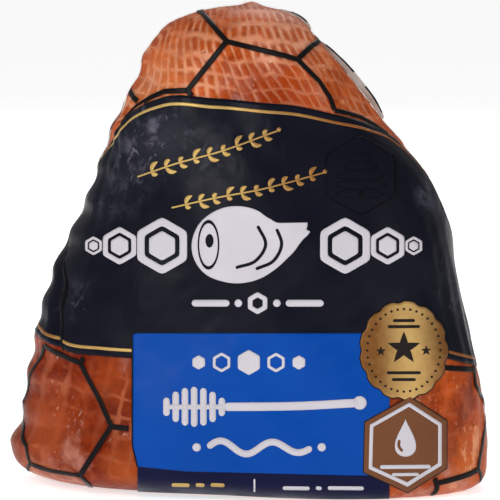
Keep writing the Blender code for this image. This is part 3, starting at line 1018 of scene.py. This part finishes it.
round_drop = -np.linspace(0, tau, 64, endpoint=False)
honey_drop = np.stack([
    78.7 + 7.6 * np.sin(round_drop) * np.abs(np.sin(0.5 * round_drop)) ** 1.6,
    23.6 + 9.4 * np.cos(round_drop),
], axis=-1)
badge_marks = [
    disc(badge_middle + 0.88 * (badge_edge - badge_middle), 0.9),
    disc(honey_drop),
    stroke(((66, 9), (91.2, 9.2)), 1),
    stroke(((72, 5.2), (85.4, 5.3)), 0.8),
]
white_ink = ink_look("white_ink", (206, 201, 206), (184, 180, 188), 0.42)
printed("badge_marks", wrap(badge_marks, 0.0006), white_ink)
drop_shine = stroke(((75.6, 22.6), (75.4, 19.4), (77.2, 16.9)), 0.7)
printed("drop_shine", wrap([drop_shine], 0.00072), badge_brown)


# The print of the band, in white, gold and near black. A plain leg of ham stands between six cells of
# falling size, with a row of bars under it, two gold sprigs above it and a dark hive.

PRINT_LIFT = 0.0003
TOP_PRINT_LIFT = 0.00042
HAM_SHAPE = np.array([    # angle in degrees and reach in millimetres
    (0, 24.5), (7, 27.5), (12, 31), (16, 29), (20, 31.5), (25, 26), (34, 19.5), (52, 16.5),
    (78, 17.6), (105, 20), (135, 24), (160, 27.5), (185, 29), (210, 27), (235, 22.5),
    (262, 19.2), (290, 17.6), (318, 17.8), (340, 20), (360, 24.5),
])
ham_angle = np.linspace(0, 360, 120, endpoint=False)
ham_reach = smooth_through(HAM_SHAPE[:, 0], HAM_SHAPE[:, 1], ham_angle)
white_print = [oval((1, 120), ham_reach, 120)]
for side, start in ((-1, 1.5), (1, 4.5)):
    for away, reach in ((44.2, 14.4), (65.4, 9.6), (78.4, 4.8)):
        middle = (start + side * away, 119.5)
        white_print += [cell(middle, reach, 0.7), cell(middle, reach * 0.52)]
white_print += [
    bar(-28, -9, 90.8, 1.7),
    bar(19, 38, 90.8, 1.7),
    oval((-4.6, 90.8), 1.9),
    oval((14.6, 90.8), 1.9),
    cell((5, 90.8), 5.6, 0.52),
]
printed("band_white_print", wrap(white_print, PRINT_LIFT), white_ink)

dark_print = [
    oval((-19.5, 120), 5.4, 48, 12.4, 0.86),
    oval((-19, 122), 2, 24, 3.4),
    stroke(((-6, 108.5), (4, 112), (9, 120), (5, 129.5)), 0.8),
    stroke(((4, 107.8), (13, 112), (17, 120.5), (14.5, 128)), 0.8),
]
printed("ham_print_lines", wrap(dark_print, TOP_PRINT_LIFT), band_ink)

gold_print = []
for sprig, leaf in ((((-55, 154), (-36, 160.5), (-14, 166.5), (15, 177)), 6.6),
                    (((-38, 138.5), (-18, 143), (8, 148), (38, 156)), 6.2)):
    stem = evenly(sprig, 7.4, True)
    gold_print.append(stroke(sprig, 0.42))
    for k, (spot, ahead) in enumerate(zip(stem[1:-1], stem[2:])):
        way = (ahead - spot) / np.linalg.norm(ahead - spot)
        for side in (-1, 1):
            out = np.array([-way[1], way[0]]) * side
            size = leaf * (0.75 + 0.25 * sin(2.1 * k + side))
            tip = spot + way * size * 0.75 + out * size * 0.62
            bend = spot + way * size * 0.28 + out * size * 0.46
            gold_print.append(stroke((spot, bend, tip), 1.15, "leaf", 0.6))
    gold_print.append(oval(stem[-1] + 0.6, 1.1, 16))
printed("gold_sprigs", wrap(gold_print, PRINT_LIFT), gold_ink)

hive = [cell((56.5, 154.5), 20.5, 0.96)]
for tier, half_long in enumerate((12, 13.2, 11.8, 8.8, 4.8)):
    hive.append(oval((56.5, 145.4 + 4.6 * tier), half_long, 48, 2.4, 0.93))
hive.append(oval((56.5, 145.4), 1.5))
printed("hive_lines", wrap(hive, PRINT_LIFT), ink_look("hive_ink", (9, 9, 13), (6, 6, 9), 0.42))


# The print of the panel, in white: a honey dipper that lies across it, a row of cells above it and a
# wave of honey below. The strip has short bars in gold and in white.

row = ((-24.4, 3.6, 0), (-13, 5, 0.68), (0.6, 6.4, 0), (14.2, 5, 0.68), (25.6, 3.6, 0))
panel_print = [cell((across, 61.2), reach, hole) for across, reach, hole in row]
panel_print += [stroke(((-12, 39), (24, 39.4), (55, 41)), 2.1), oval((56, 41), 3.4, 24)]
for k, half_long in enumerate((4.6, 7.6, 9.4, 10, 9.4, 7.6, 4.6)):
    across = -40.5 + 4.6 * k
    panel_print.append(stroke(((across, 39 - half_long), (across, 39 + half_long)), 1.65))
wave = np.linspace(0, 1, 25)
wave_up = 18.6 + 3.6 * np.sin(wave * 4 * pi) * (1 - 0.35 * wave)
panel_print += [
    stroke(((-40, 38.9), (-12, 39)), 1.2),
    stroke(np.stack([-20 + 52 * wave, wave_up], axis=-1), 1.7),
    oval((-25.5, 18.8), 2.1),
    oval((37, 18.8), 2.1),
]
printed("panel_print", wrap(panel_print, TOP_PRINT_LIFT), white_ink)

strip_gold = [stroke(((start, 0.2), (end, 0)), 0.9)
              for start, end in ((-38, -29), (-26, -21.5), (-18.5, -11.5))]
strip_white = [stroke(((start, -1.4), (end, -1.6)), 0.9)
               for start, end in ((17.5, 31), (34, 37), (40, 58))]
strip_white.append(stroke(((3.4, -3.4), (3.4, 3)), 0.45))
printed("strip_gold_bars", wrap(strip_gold, 0.00038), gold_ink)
printed("strip_white_bars", wrap(strip_white, 0.00038), white_ink)


# The print of the back: a plain notice field, as packs of this kind have. It is a white frame with
# ruled lines of uneven length, and a gold row of cells over it.

frame_edge = polygon(((48, 84), (48, 148), (-46, 148), (-46, 84)))
back_print = [disc(frame_edge, 0.975)]
for k, end in enumerate((36, 30, 38, 24, 34, 12, 37, 28)):
    back_print.append(bar(-38, end, 141.5 - 7.2 * k, 0.95))
printed("back_white_print", wrap(back_print, PRINT_LIFT, True), white_ink)
back_gold = [cell((-24 + 12.5 * k, 163), 5.6, 0.7) for k in range(5)]
printed("back_gold_print", wrap(back_gold, PRINT_LIFT, True), gold_ink)


# The floor and the light: a plain pale floor that runs on to the back, a large soft light from the
# front and the left, a weaker one from the right, one from behind, and pale light all round.

LIGHTS = (     # name, place, size and power
    ("key_light", (-1.3, -2, 1.3), 1.3, 34),
    ("fill_light", (1.9, -1.6, 0.9), 1.2, 9),
    ("back_light", (0.4, 1.8, 2), 1.4, 26),
)
LIGHT_AIM = (0, 0, 0.12)

pale = Look("studio_floor", Roughness=0.8, Emission_Color=(1, 1, 1, 1), Emission_Strength=0.66)
pale.drive("Base Color", pale.mixed(pale.cloud(3), (246, 246, 246), (250, 250, 250)))
floor_turns = np.linspace(0, tau, 97)[:-1]
floor_reach = np.array([30, 12, 5, 2, 0.8, 0.3])[:, None]
floor_points = np.stack(np.broadcast_arrays(
    floor_reach * np.cos(floor_turns), floor_reach * np.sin(floor_turns), -0.0001), axis=-1)
vertices, faces, pattern = patch_of(floor_points, True, np.array([0, 0, -0.0001]))
floor_mesh = bpy.data.meshes.new("floor")
floor_mesh.from_pydata(vertices.tolist(), [], faces[0].tolist() + faces[1].tolist())
floor_mesh.materials.append(pale.material)
floor = bpy.data.objects.new("floor", floor_mesh)
bpy.context.collection.objects.link(floor)

for name, place, size, power in LIGHTS:
    data = bpy.data.lights.new(name, "AREA")
    data.shape = "SQUARE"
    data.size = size
    data.energy = power
    light = bpy.data.objects.new(name, data)
    bpy.context.collection.objects.link(light)
    light.location = place
    toward = Vector(LIGHT_AIM) - Vector(place)
    light.rotation_euler = toward.to_track_quat("-Z", "Y").to_euler()
world = bpy.data.worlds.new("studio")
world.use_nodes = True
world.node_tree.nodes["Background"].inputs[0].default_value = (1, 1, 1, 1)
world.node_tree.nodes["Background"].inputs[1].default_value = 0.3
bpy.context.scene.world = world
bpy.context.scene.view_settings.view_transform = "Standard"
